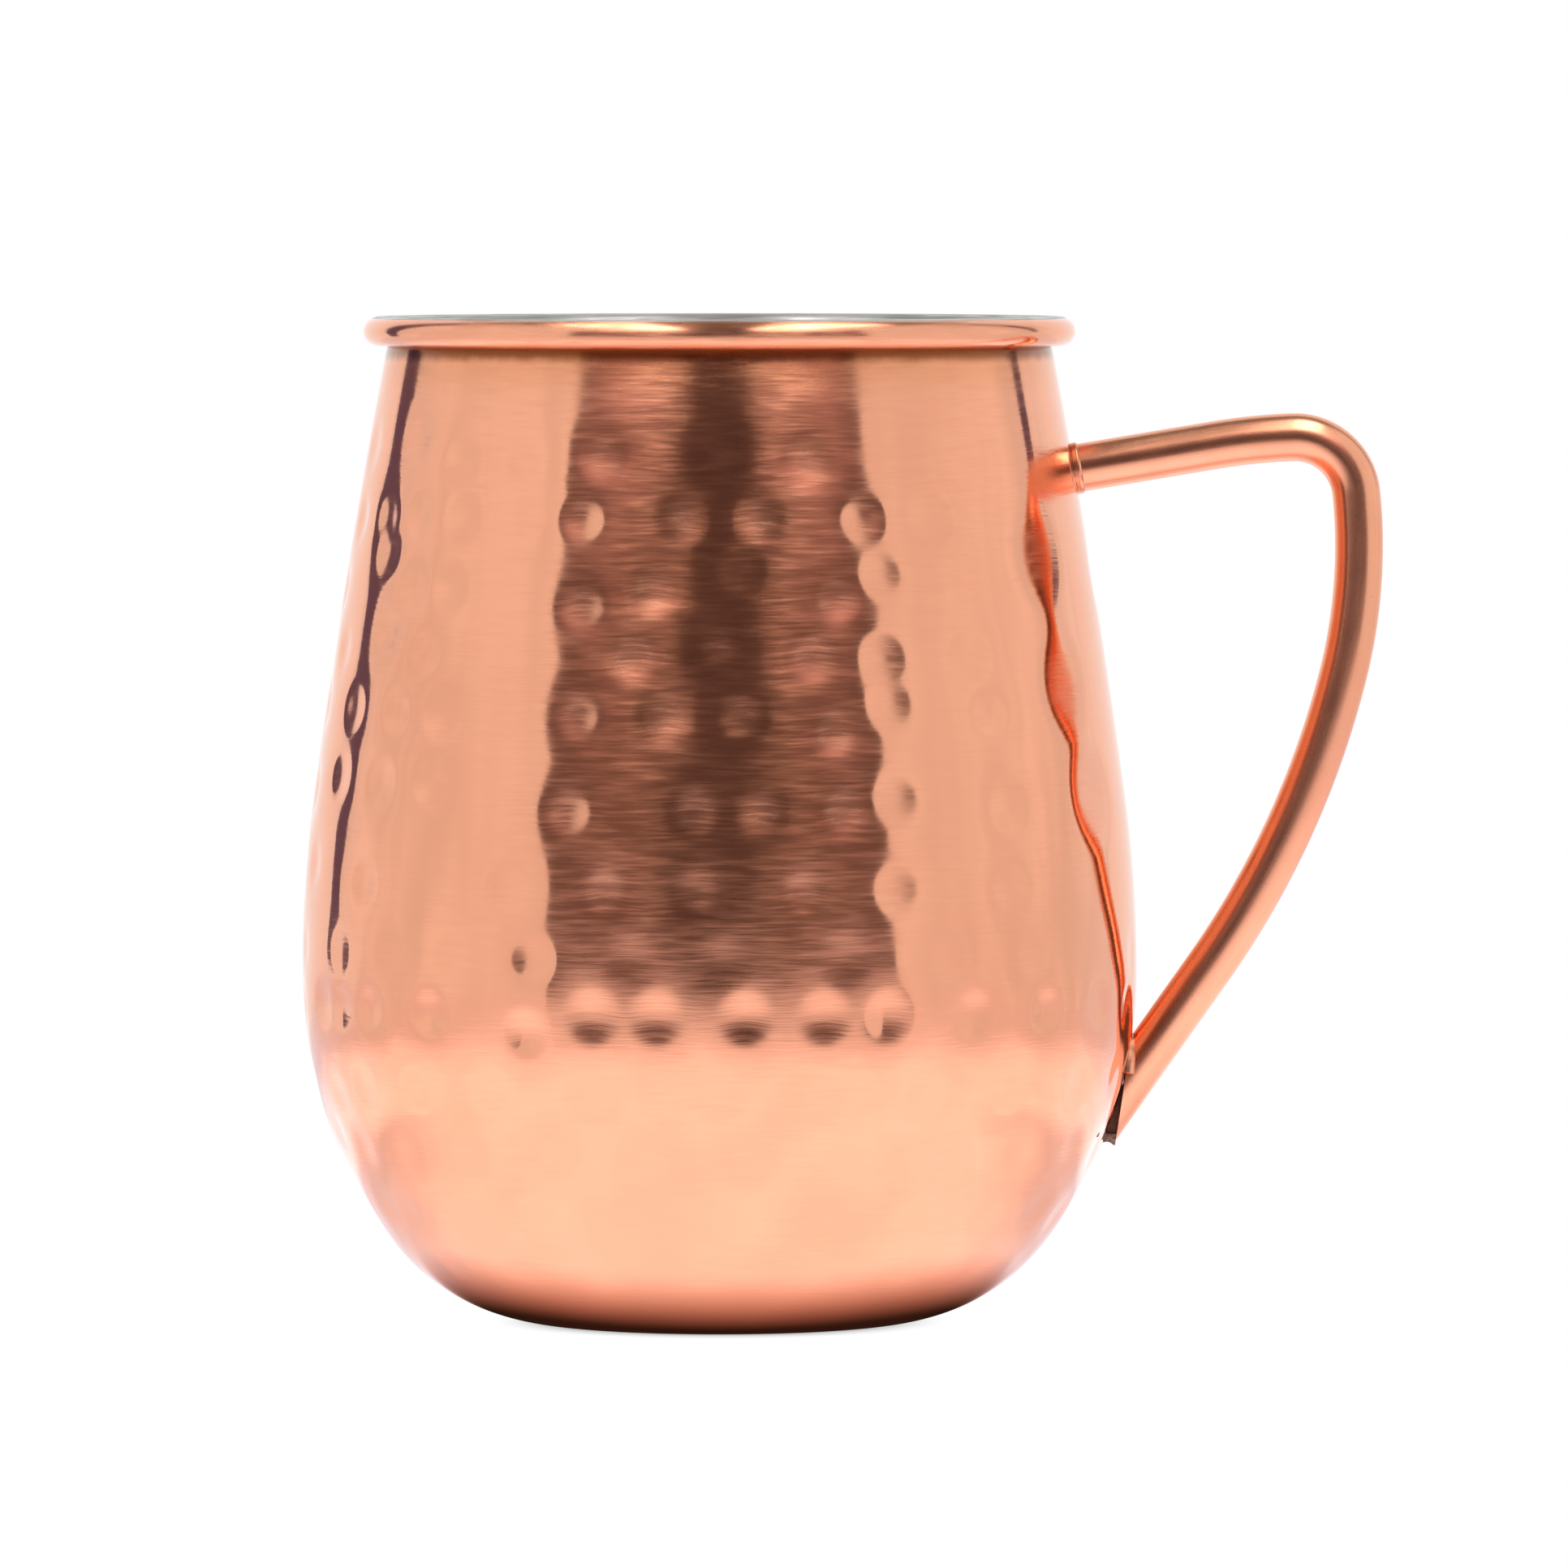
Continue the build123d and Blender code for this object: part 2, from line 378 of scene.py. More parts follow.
def lining():
    """The steel lining, which shows the hammer marks as low bumps, up to its burnished lip."""
    hidden = lip_radius - LINING
    edge_hidden = polar(lip_center, hidden, lip_angle)
    edge_round = polar(lip_center, lip_radius - LIP_ROUNDING, lip_angle)
    edge_top = polar(lip_center, lip_radius, lip_angle + degrees(LIP_ROUNDING / lip_radius))
    lip = [
        arc(lip_center, hidden, flare_angle, lip_angle, RIM_STEP)[1:-1],
        np.array([edge_hidden, edge_round, edge_top]),
        arc(lip_center, lip_radius, lip_angle + LIP_TURN, flare_angle, RIM_STEP)[1:-1],
    ]
    rim = np.concatenate(lip)
    return sleeve("steel_lining", COPPER + LINING_GAP, WALL, rim, HIDDEN_STEP, WALL_STEP)


# ---------------------------------------------------------------- handle
# A round tube in the XZ plane: a straight top run, arcs as (radius in mm, turn), and a straight
# lower run that ends on the slanting cut from CUT_TOP to CUT_TIP.

TUBE_RADIUS = 2.5 * MM
TUBE_BORE = 1.7 * MM
HANDLE_START = (36.0 * MM, 88.95 * MM)
HANDLE_RISE = 9.5
TOP_RUN = 15.9 * MM
HANDLE_ARCS = [(63.0, 7.4), (6.45, 86.2), (55.0, 19.9), (92.0, 21.1)]
LOWER_RUN = 24.0 * MM
CUT_TOP = (42.85 * MM, 29.3 * MM)
CUT_TIP = (41.3 * MM, 18.5 * MM)
JOINT_GAP = 0.02 * MM
END_ROOM = 1.2 * MM
SLIDES = 12
TUBE_SIDES = 72
TUBE_STEP = 0.5 * MM


def handle_path():
    """The tube's centreline as points and headings (radians, in the XZ plane)."""
    x, z = HANDLE_START
    heading = radians(HANDLE_RISE)
    points, headings = [(x, z)], [heading]

    def advance(length, turn):
        nonlocal x, z, heading
        count = max(2, int(length / TUBE_STEP))
        for _ in range(count):
            middle = heading - turn / count / 2
            chord = length / count
            if turn:
                radius = length / turn
                chord = 2 * radius * sin(turn / count / 2)
            x += chord * cos(middle)
            z += chord * sin(middle)
            heading -= turn / count
            points.append((x, z))
            headings.append(heading)

    advance(TOP_RUN, 0.0)
    for radius, turn in HANDLE_ARCS:
        advance(radius * MM * radians(turn), radians(turn))
    advance(LOWER_RUN, 0.0)
    return np.array(points), np.array(headings)


def to_wall(point, direction, room):
    """The point slid along a direction until it is at the wall's outer face."""
    for _ in range(SLIDES):
        off = hypot(point.x, point.y) - body_radius(point.z) - room
        inward = -(direction.x * point.x + direction.y * point.y) / hypot(point.x, point.y)
        point = point + direction * (off / inward)
    return point


def cut_normal():
    """The lower cut's direction, square to its face and towards the wall."""
    up = Vector((CUT_TOP[0] - CUT_TIP[0], 0, CUT_TOP[1] - CUT_TIP[1])).normalized()
    return up.cross(Vector((0, 1, 0)))


def tube_ring(center, heading, radius):
    """One ring of points round the tube."""
    side = Vector((0, 1, 0))
    up = Vector((-sin(heading), 0, cos(heading)))
    angles = [2 * pi * k / TUBE_SIDES for k in range(TUBE_SIDES)]
    middle = Vector((center[0], 0, center[1]))
    return [middle + (up * cos(a) + side * sin(a)) * radius for a in angles]


def tube_rings(radius):
    """The tube's rings from the wall joint to the slanting cut."""
    points, headings = handle_path()
    wall_reach = body_radius(HANDLE_START[1]) + END_ROOM
    keep = [i for i in range(len(points) - 1) if points[i][0] > wall_reach]
    normal = cut_normal()
    plane = Vector((CUT_TIP[0], 0, CUT_TIP[1]))
    last_heading = headings[-1]
    run = Vector((cos(last_heading), 0, sin(last_heading)))
    start = Vector((cos(headings[0]), 0, sin(headings[0])))
    rings = []
    for i in keep:
        ring = tube_ring(points[i], headings[i], radius)
        if i > len(points) // 2:
            reach = [(plane - p).dot(normal) / run.dot(normal) for p in ring]
            if min(reach) < END_ROOM:
                rings.append([p + run * t for p, t in zip(ring, reach)])
                break
        rings.append(ring)
    joint = [to_wall(p, -start, JOINT_GAP) for p in rings[0]]
    return [joint] + rings


def tube_grain(rings, radius):
    """For each point of the rings, its place round the tube and its run along it."""
    grain, run, last = [], 0.0, None
    for ring in rings:
        middle = sum(ring, Vector()) / len(ring)
        run += (middle - last).length if last else 0.0
        last = middle
        for k in range(TUBE_SIDES):
            angle = 2 * pi * k / TUBE_SIDES
            grain.append((radius * cos(angle), radius * sin(angle), run))
    return grain


def handle():
    """The hollow tube: coped against the wall above and cut on a slant below."""
    outside, inside = tube_rings(TUBE_RADIUS), tube_rings(TUBE_BORE)[::-1]
    rings = outside + inside
    points = [tuple(p) for ring in rings for p in ring]
    faces = ring_faces(len(rings), TUBE_SIDES, True)
    tube = new_object("bent_handle", points, faces)
    grain = tube_grain(outside, TUBE_RADIUS) + tube_grain(inside, TUBE_BORE)
    place = tube.data.attributes.new("grain", "FLOAT_VECTOR", "POINT")
    place.data.foreach_set("vector", np.array(grain).ravel())
    return tube


# The upper weld's outline, as (run from the wall, height above the tube) in mm, and its height
# where it meets the wall.
WELD_OUTLINE = [(0.26, 0.19), (0.36, 0.22), (0.46, 0.21), (0.56, 0.16), (0.66, 0.08), (0.70, 0.02)]
WELD_FOOT = 0.16 * MM


def upper_weld():
    """The low ring of weld round the tube where it meets the wall."""
    heading = radians(HANDLE_RISE)
    start = Vector((cos(heading), 0, sin(heading)))
    to_wall_line = (body_radius(HANDLE_START[1]) - HANDLE_START[0]) / start.x
    rings = []
    for run, proud in WELD_OUTLINE:
        reach = to_wall_line + run * MM
        center = (HANDLE_START[0] + start.x * reach, HANDLE_START[1] + start.z * reach)
        rings.append(tube_ring(center, heading, TUBE_RADIUS + proud * MM))
    for proud in (JOINT_GAP, WELD_FOOT):
        ring = tube_ring(center, heading, TUBE_RADIUS + proud)
        rings.append([to_wall(p, -start, JOINT_GAP) for p in ring])
    points = [tuple(p) for ring in rings for p in ring]
    return new_object("upper_weld_ring", points, ring_faces(len(rings), TUBE_SIDES, True))


# ---------------------------------------------------------------- shader nodes
# Each helper adds a node or two to a tree and returns the socket that comes out. Values are
# numbers, triples or other nodes' sockets.


def feed(tree, socket, value):
    """Sets a node's input, or links it when the value is a socket."""
    if isinstance(value, bpy.types.NodeSocket):
        tree.links.new(value, socket)
    elif socket.type == "RGBA":
        socket.default_value = (*value, 1)
    else:
        socket.default_value = value


def maths(tree, operation, *values):
    """An operation on numbers."""
    node = tree.nodes.new("ShaderNodeMath")
    node.operation = operation
    for socket, value in zip(node.inputs, values):
        feed(tree, socket, value)
    return node.outputs[0]


def vector_maths(tree, operation, *values):
    """An operation on vectors."""
    node = tree.nodes.new("ShaderNodeVectorMath")
    node.operation = operation
    for socket, value in zip(node.inputs, values):
        feed(tree, socket, value)
    return node.outputs["Value" if operation == "LENGTH" else "Vector"]


def parts(tree, vector):
    """A vector's X, Y and Z."""
    node = tree.nodes.new("ShaderNodeSeparateXYZ")
    feed(tree, node.inputs[0], vector)
    return node.outputs


def vector(tree, **values):
    """A vector from some of its X, Y and Z, with nothing for the rest."""
    node = tree.nodes.new("ShaderNodeCombineXYZ")
    for axis, value in values.items():
        feed(tree, node.inputs[axis.upper()], value)
    return node.outputs[0]


def smooth_ramp(tree, value, span, start, end):
    """Start to end as the value goes through the span, eased at both ends."""
    ramp = tree.nodes.new("ShaderNodeMapRange")
    ramp.interpolation_type = "SMOOTHSTEP"
    for name, limit in zip(("From Min", "From Max", "To Min", "To Max"), (*span, start, end)):
        ramp.inputs[name].default_value = limit
    feed(tree, ramp.inputs["Value"], value)
    return ramp.outputs[0]


def noise(tree, place, scale, detail, roughness=0.5):
    """A noise texture on these coordinates."""
    texture = tree.nodes.new("ShaderNodeTexNoise")
    texture.inputs["Scale"].default_value = scale
    texture.inputs["Detail"].default_value = detail
    texture.inputs["Roughness"].default_value = roughness
    feed(tree, texture.inputs["Vector"], place)
    return texture.outputs["Fac"]


def bump(tree, height, distance, below=None):
    """A bump on this height, over an earlier one if given."""
    node = tree.nodes.new("ShaderNodeBump")
    node.inputs["Strength"].default_value = 1.0
    node.inputs["Distance"].default_value = distance
    feed(tree, node.inputs["Height"], height)
    if below:
        feed(tree, node.inputs["Normal"], below)
    return node.outputs["Normal"]


def average(tree, first, second):
    """The mean of two values."""
    node = tree.nodes.new("ShaderNodeMix")
    node.inputs["Factor"].default_value = 0.5
    feed(tree, node.inputs[2], first)
    feed(tree, node.inputs[3], second)
    return node.outputs[0]


def color_mix(tree, factor, first, second):
    """A colour between two."""
    node = tree.nodes.new("ShaderNodeMix")
    node.data_type = "RGBA"
    feed(tree, node.inputs["Factor"], factor)
    feed(tree, node.inputs[6], first)
    feed(tree, node.inputs[7], second)
    return node.outputs[2]


def shader_mix(tree, factor, first, second):
    """A shader between two."""
    node = tree.nodes.new("ShaderNodeMixShader")
    feed(tree, node.inputs["Fac"], factor)
    tree.links.new(first, node.inputs[1])
    tree.links.new(second, node.inputs[2])
    return node.outputs[0]


def floor_place(tree):
    """Where a point of the stage is, from the middle of the mug's base."""
    return tree.nodes.new("ShaderNodeNewGeometry").outputs["Position"]


def object_place(tree):
    """Where a point of a piece is."""
    return tree.nodes.new("ShaderNodeTexCoord").outputs["Object"]


def attribute(tree, name, output):
    """A value that the mesh carries."""
    node = tree.nodes.new("ShaderNodeAttribute")
    node.attribute_name = name
    return node.outputs[output]


def seen_directly(tree):
    """One where the camera looks straight at a surface, and nought in reflections."""
    return tree.nodes.new("ShaderNodeLightPath").outputs["Is Camera Ray"]


# ---------------------------------------------------------------- stage
# A camera, a small white tent round the mug, and a pale floor. The tent is there for the metal
# to mirror, and the camera sees through it to plain white.

CAMERA_DISTANCE = 1.5
CAMERA_HEIGHT = 118.9 * MM
AIM = (6.73 * MM, 56.2 * MM)
LENS = 330.2
SENSOR = 36
CAMERA_REACH = 50


def add_camera():
    """A long lens in front of the mug, a little higher than the rim and to the handle's side."""
    data = bpy.data.cameras.new("camera")
    data.lens = LENS
    data.sensor_width = SENSOR
    data.clip_end = CAMERA_REACH
    camera = bpy.data.objects.new("camera", data)
    bpy.context.scene.collection.objects.link(camera)
    camera.location = (AIM[0], -CAMERA_DISTANCE, CAMERA_HEIGHT)
    aim = Vector((AIM[0], 0, AIM[1])) - camera.location
    camera.rotation_euler = aim.to_track_quat("-Z", "Y").to_euler()
    bpy.context.scene.camera = camera


def plane(name, corners, material):
    """A flat card of the stage, from four corners."""
    mesh = bpy.data.meshes.new(name)
    mesh.from_pydata(corners, [], [(0, 1, 2, 3)])
    card = bpy.data.objects.new(name, mesh)
    bpy.context.scene.collection.objects.link(card)
    mesh.materials.append(material)
    return card


def glow(name, strength, color=(1, 1, 1)):
    """An emitter."""
    material = bpy.data.materials.new(name)
    material.use_nodes = True
    tree = material.node_tree
    tree.nodes.clear()
    emission = tree.nodes.new("ShaderNodeEmission")
    emission.inputs["Color"].default_value = (*color, 1)
    emission.inputs["Strength"].default_value = strength
    output = tree.nodes.new("ShaderNodeOutputMaterial")
    tree.links.new(emission.outputs[0], output.inputs["Surface"])
    return material


def make_uneven(material, strength):
    """Gives an emitter a strength that changes from place to place."""
    tree = material.node_tree
    tree.links.new(strength, tree.nodes["Emission"].inputs["Strength"])


TENT_SIDE = 0.31
TENT_FRONT = -0.38
TENT_BACK = 0.31
TENT_TOP = 0.54
BACK_GLOW = 1.0
TOP_GLOW = 0.2

# The side cloth, which stops short of the front; its glow varies a little, as over soft folds.
CLOTH_FRONT = -0.29
CLOTH_COLOR = (0.95, 1.0, 1.06)
CLOTH_FOLDS = 14.0
CLOTH_GLOW = (0.88, 1.04)

# An opening in each side cloth: (middle, foot, width at the foot, width at the top).
LEFT_SLOT = (0.240, 0.018, 0.05, 0.25)
RIGHT_SLOT = (0.172, 0.125, 0.03, 0.12)
SLOT_INSET = 0.001
SLOT_COLOR = (0.14, 0.11, 0.19)

# Two lamps overhead, one each side of the middle.
LAMP_GLOW = 5.0
LAMP_NEAR = 0.068
LAMP_FAR = 0.185
LAMP_FRONT = -0.375
LAMP_REAR = 0.02
LAMP_HEIGHT = 0.40

# The dim curtain in front, darkest down its middle, with the light of the lamps on its top.
CURTAIN_COLOR = (1.0, 0.74, 0.81)
CURTAIN_GLOW = 0.125
MIDDLE_GLOW = 0.075
MIDDLE_SPAN = (0.045, 0.16)
FALL_GLOW = 1.25
FALL_FOOT = 0.15
FALL_POWER = 2.2
FALL_NEAR = (0.030, 0.150)
FALL_FAR = (0.28, 0.36)

NOISE_SPAN = (0.3, 0.7)


def cloth_glow():
    """The side cloth, lit a little unevenly as if over soft folds."""
    material = glow("tent_side", 1.0, CLOTH_COLOR)
    tree = material.node_tree
    folds = noise(tree, floor_place(tree), CLOTH_FOLDS, 2.0)
    make_uneven(material, smooth_ramp(tree, folds, NOISE_SPAN, *CLOTH_GLOW))
    return material


def curtain_glow():
    """The curtain's dim light, and what each lamp throws down it, fading to its foot and sides."""
    material = glow("lamp_fall", 1.0, CURTAIN_COLOR)
    tree = material.node_tree
    place = parts(tree, floor_place(tree))
    off = maths(tree, "ABSOLUTE", place["X"])
    rise = tree.nodes.new("ShaderNodeMapRange")
    rise.inputs["From Min"].default_value = FALL_FOOT
    rise.inputs["From Max"].default_value = LAMP_HEIGHT
    feed(tree, rise.inputs["Value"], place["Z"])
    fall = maths(tree, "POWER", rise.outputs[0], FALL_POWER)
    near = smooth_ramp(tree, off, FALL_NEAR, 0.0, FALL_GLOW)
    far = smooth_ramp(tree, off, FALL_FAR, 1.0, 0.0)
    thrown = maths(tree, "MULTIPLY", maths(tree, "MULTIPLY", near, far), fall)
    own = smooth_ramp(tree, off, MIDDLE_SPAN, MIDDLE_GLOW, CURTAIN_GLOW)
    make_uneven(material, maths(tree, "ADD", thrown, own))
    return material


def wall_card(name, x0, y0, x1, y1, material):
    """An upright card of the tent, between two points of the floor."""
    corners = [(x0, y0, 0), (x1, y1, 0), (x1, y1, TENT_TOP), (x0, y0, TENT_TOP)]
    return plane(name, corners, material)


def flat_card(name, x0, y0, x1, y1, height, material):
    """A level card of the stage."""
    corners = [(x0, y0, height), (x1, y0, height), (x1, y1, height), (x0, y1, height)]
    return plane(name, corners, material)


def slot_card(name, x, opening, material):
    """A dark card just inside a side cloth, which tapers towards its foot."""
    middle, foot, bottom, head = opening
    corners = [
        (x, middle - bottom / 2, foot),
        (x, middle + bottom / 2, foot),
        (x, middle + head / 2, TENT_TOP),
        (x, middle - head / 2, TENT_TOP),
    ]
    return plane(name, corners, material)


def add_tent():
    """The tent: back, top, curtain, two lamps, and a side cloth with its opening each side."""
    cloth = cloth_glow()
    curtain = curtain_glow()
    back = glow("tent_back", BACK_GLOW)
    top = glow("tent_top", TOP_GLOW)
    lamp = glow("lamp", LAMP_GLOW)
    slot = glow("slot", 1.0, SLOT_COLOR)
    s = TENT_SIDE
    cards = [
        wall_card("tent_back", -s, TENT_BACK, s, TENT_BACK, back),
        wall_card("tent_front", -s, TENT_FRONT, s, TENT_FRONT, curtain),
        flat_card("tent_top", -s, TENT_FRONT, s, TENT_BACK, TENT_TOP, top),
        flat_card("lamp_left", -LAMP_FAR, LAMP_FRONT, -LAMP_NEAR, LAMP_REAR, LAMP_HEIGHT, lamp),
        flat_card("lamp_right", LAMP_NEAR, LAMP_FRONT, LAMP_FAR, LAMP_REAR, LAMP_HEIGHT, lamp),
    ]
    for name, x, opening in (("left", -s, LEFT_SLOT), ("right", s, RIGHT_SLOT)):
        inside = x * (1 - SLOT_INSET / s)
        cards.append(wall_card(f"tent_{name}", x, CLOTH_FRONT, x, TENT_BACK, cloth))
        cards.append(wall_card(f"curtain_{name}", x, TENT_FRONT, x, CLOTH_FRONT, curtain))
        cards.append(slot_card(f"slot_{name}", inside, opening, slot))
    for card in cards:
        card.visible_camera = False


# The floor as it is seen: matt under the mug, and white from just outside its base.
FLOOR_COLOR = (0.9, 0.9, 0.9)
FADE = (0.012, 0.024)

# The floor as the metal mirrors it: dim and warm close to the base, which shades it most at
# the mug's sides, then bright, and duller again far off.
FLOOR_NEAR = (1.0, 0.99, 1.10)
FLOOR_DIM = (1.0, 0.40, 0.24)
SHADE_SPAN = (0.0206, 0.0342)
SHADE_GLOW = 0.02
SHADE_NARROWING = (0.865, 1, 1)
FLOOR_GLOW = 1.44
FLOOR_FAR = 0.90
FLOOR_REACH = (0.09, 0.24)
BESIDE_GLOW = 0.67
BESIDE_SPAN = (0.045, 0.095)
FRONT_SPAN = (-0.15, 0.55)
MOTTLE = 45.0
MOTTLE_GLOW = (0.94, 1.05)


def seen_floor(tree, place):
    """The pale floor with the mug's contact shadow on it, running out into white."""
    diffuse = tree.nodes.new("ShaderNodeBsdfDiffuse")
    diffuse.inputs["Color"].default_value = (*FLOOR_COLOR, 1)
    white = tree.nodes.new("ShaderNodeEmission")
    fade = smooth_ramp(tree, vector_maths(tree, "LENGTH", place), FADE, 0.0, 1.0)
    return shader_mix(tree, fade, diffuse.outputs[0], white.outputs[0])


def mirrored_floor(tree, place):
    """The softly lit sheet that the metal mirrors."""
    away = vector_maths(tree, "LENGTH", place)
    near = vector_maths(tree, "LENGTH", vector_maths(tree, "MULTIPLY", place, SHADE_NARROWING))
    facing = vector_maths(tree, "NORMALIZE", place)
    ahead = maths(tree, "MULTIPLY", parts(tree, facing)["Y"], -1.0)
    shade = smooth_ramp(tree, near, SHADE_SPAN, SHADE_GLOW, 1.0)
    reach = smooth_ramp(tree, away, FLOOR_REACH, FLOOR_GLOW, FLOOR_FAR)
    front = smooth_ramp(tree, ahead, FRONT_SPAN, BESIDE_GLOW, 1.0)
    beside = smooth_ramp(tree, away, BESIDE_SPAN, 0.0, 1.0)
    mottle = smooth_ramp(tree, noise(tree, place, MOTTLE, 2.0), NOISE_SPAN, *MOTTLE_GLOW)
    strength = maths(tree, "MULTIPLY", shade, reach)
    strength = maths(tree, "MULTIPLY", strength, maths(tree, "MAXIMUM", front, beside))
    sheet = tree.nodes.new("ShaderNodeEmission")
    feed(tree, sheet.inputs["Color"], color_mix(tree, shade, FLOOR_DIM, FLOOR_NEAR))
    feed(tree, sheet.inputs["Strength"], maths(tree, "MULTIPLY", strength, mottle))
    return sheet.outputs[0]


def add_floor():
    """A plain pale floor, which looks softer in the metal than it does directly."""
    material = bpy.data.materials.new("floor")
    material.use_nodes = True
    tree = material.node_tree
    tree.nodes.clear()
    place = floor_place(tree)
    surface = shader_mix(
        tree, seen_directly(tree), mirrored_floor(tree, place), seen_floor(tree, place)
    )
    output = tree.nodes.new("ShaderNodeOutputMaterial")
    tree.links.new(surface, output.inputs["Surface"])
    flat_card("floor", -TENT_SIDE, TENT_FRONT, TENT_SIDE, TENT_BACK, 0.0, material)


def add_world():
    """White behind everything for the camera, and as dark as the tent's openings otherwise."""
    world = bpy.data.worlds.new("world")
    bpy.context.scene.world = world
    world.use_nodes = True
    tree = world.node_tree
    color = color_mix(tree, seen_directly(tree), SLOT_COLOR, (1, 1, 1))
    feed(tree, tree.nodes["Background"].inputs["Color"], color)


# ---------------------------------------------------------------- materials


def metal(name, color, roughness, anisotropic=0.0):
    """A metal, as its material, its node tree and its surface.

    The colour and roughness are its plain averages, until a pattern is fed in."""
    material = bpy.data.materials.new(name)
    material.use_nodes = True
    surface = material.node_tree.nodes["Principled BSDF"]
    surface.inputs["Base Color"].default_value = (*color, 1)
    surface.inputs["Metallic"].default_value = 1.0
    surface.inputs["Roughness"].default_value = roughness
    surface.inputs["Anisotropic"].default_value = anisotropic
    return material, material.node_tree, surface


def turned_grain(tree, around, along):
    """Texture coordinates of brushing round the axis: stretched by around, fine by along.

    Height and radius together run evenly up the wall and across the base."""
    place = parts(tree, object_place(tree))
    ring = vector(tree, x=place["X"], y=place["Y"])
    run = maths(tree, "ADD", place["Z"], vector_maths(tree, "LENGTH", ring))
    unit = vector_maths(tree, "NORMALIZE", ring)
    spread = vector_maths(tree, "MULTIPLY", unit, (around, around, around))
    rise = vector(tree, z=maths(tree, "MULTIPLY", run, along))
    return vector_maths(tree, "ADD", spread, rise)


STREAK_SPAN = (0.42, 0.72)


def streaked_roughness(tree, streaks, low, high):
    """Roughness that follows the grain: most of it fine, with scratches here and there."""
    ramp = tree.nodes.new("ShaderNodeMapRange")
    for name, limit in zip(("From Min", "From Max", "To Min", "To Max"), (*STREAK_SPAN, low, high)):
        ramp.inputs[name].default_value = limit
    feed(tree, ramp.inputs["Value"], streaks)
    return ramp.outputs[0]


def around_the_axis(tree, surface):
    """Turns the anisotropic sheen so that it spreads across grain that runs round the axis."""
    tangent = tree.nodes.new("ShaderNodeTangent")
    tangent.direction_type = "RADIAL"
    tangent.axis = "Z"
    tree.links.new(tangent.outputs[0], surface.inputs["Tangent"])
    surface.inputs["Anisotropic Rotation"].default_value = 0.25


COPPER_COLOR = (0.93, 0.40, 0.23)
TARNISH_COLOR = (0.90, 0.372, 0.208)
# Painted shade: brown under the rim bead, nearly black in its crevice.
RIM_SHADE_COLOR = (0.76, 0.29, 0.11)
CREVICE_SHADE_COLOR = (0.30, 0.10, 0.035)

# Brushing, as (stretch round the axis, fineness up the wall).
FINE_GRAIN = (10.0, 4500.0)
COARSE_GRAIN = (7.0, 1500.0)
COPPER_ROUGHNESS = (0.14, 0.24)
COPPER_GRAIN = 0.97
COPPER_BUMP = 0.015 * MM

# How the finish changes: over heights, outwards from the middle, and in the hammer marks.
NECK_HEIGHTS = (93 * MM, 103 * MM)
NECK_DULLING = 1.6
BELLY_HEIGHTS = (15 * MM, 50 * MM)
BELLY_POLISH = 0.62
SIDES = (21 * MM, 32 * MM)
SIDE_POLISH = 0.55
STRUCK_HEIGHTS = (35 * MM, 43 * MM)
STRUCK_SPAN = (0.25, 0.9)
DENT_DULLING = 1.5
DENT_GRAIN = 0.80

# Tarnish in patches, and painted shade under the rim, darkest in the crevice where the bead starts.
PATCHES = 55.0
TARNISH_SPAN = (0.45, 0.65)
TARNISH = 0.6
RIM_SHADE_HEIGHTS = (96.5 * MM, 100.6 * MM)
RIM_SHADE_SHARE = 0.4
CREVICE_SHADE_HEIGHTS = (100.5 * MM, 101.7 * MM)
CREVICE_GRAIN = (18.0, 300.0)
CREVICE_UNEVENNESS = 0.6 * MM
BEAD_HEIGHTS = (102.2 * MM, 101.8 * MM)


def brushed_finish(tree, streaks, height):
    """The wall's roughness, and how far it spreads light across the grain."""
    rough = streaked_roughness(tree, streaks, *COPPER_ROUGHNESS)
    off = maths(tree, "ABSOLUTE", parts(tree, object_place(tree))["X"])
    above = smooth_ramp(tree, height, STRUCK_HEIGHTS, 0.0, 1.0)
    struck = maths(tree, "MULTIPLY", attribute(tree, "hammered", "Fac"), above)
    for change in (
        smooth_ramp(tree, off, SIDES, 1.0, SIDE_POLISH),
        smooth_ramp(tree, height, NECK_HEIGHTS, 1.0, NECK_DULLING),
        smooth_ramp(tree, struck, STRUCK_SPAN, 1.0, DENT_DULLING),
        smooth_ramp(tree, height, BELLY_HEIGHTS, BELLY_POLISH, 1.0),
    ):
        rough = maths(tree, "MULTIPLY", rough, change)
    return rough, smooth_ramp(tree, struck, STRUCK_SPAN, COPPER_GRAIN, DENT_GRAIN)


def brushed_color(tree, streaks, height):
    """The wall's copper with its tarnish, and painted shade under the rim, darkest in the bead's
    crevice.
    """
    patches = average(tree, noise(tree, object_place(tree), PATCHES, 3.0), streaks)
    tarnish = smooth_ramp(tree, patches, TARNISH_SPAN, 0.0, TARNISH)
    color = color_mix(tree, tarnish, COPPER_COLOR, TARNISH_COLOR)
    # Painted shade under the rim bead, darkest in the crevice where the bead starts.
    below_bead = smooth_ramp(tree, height, BEAD_HEIGHTS, 0.0, 1.0)
    rim_shade = smooth_ramp(tree, height, RIM_SHADE_HEIGHTS, 0.0, RIM_SHADE_SHARE)
    color = color_mix(tree, maths(tree, "MULTIPLY", rim_shade, below_bead), color, RIM_SHADE_COLOR)
    uneven = noise(tree, turned_grain(tree, *CREVICE_GRAIN), 1.0, 3.0)
    edge = maths(tree, "MULTIPLY_ADD", uneven, CREVICE_UNEVENNESS, height)
    crevice = smooth_ramp(tree, edge, CREVICE_SHADE_HEIGHTS, 0.0, 1.0)
    return color_mix(tree, maths(tree, "MULTIPLY", crevice, below_bead), color, CREVICE_SHADE_COLOR)


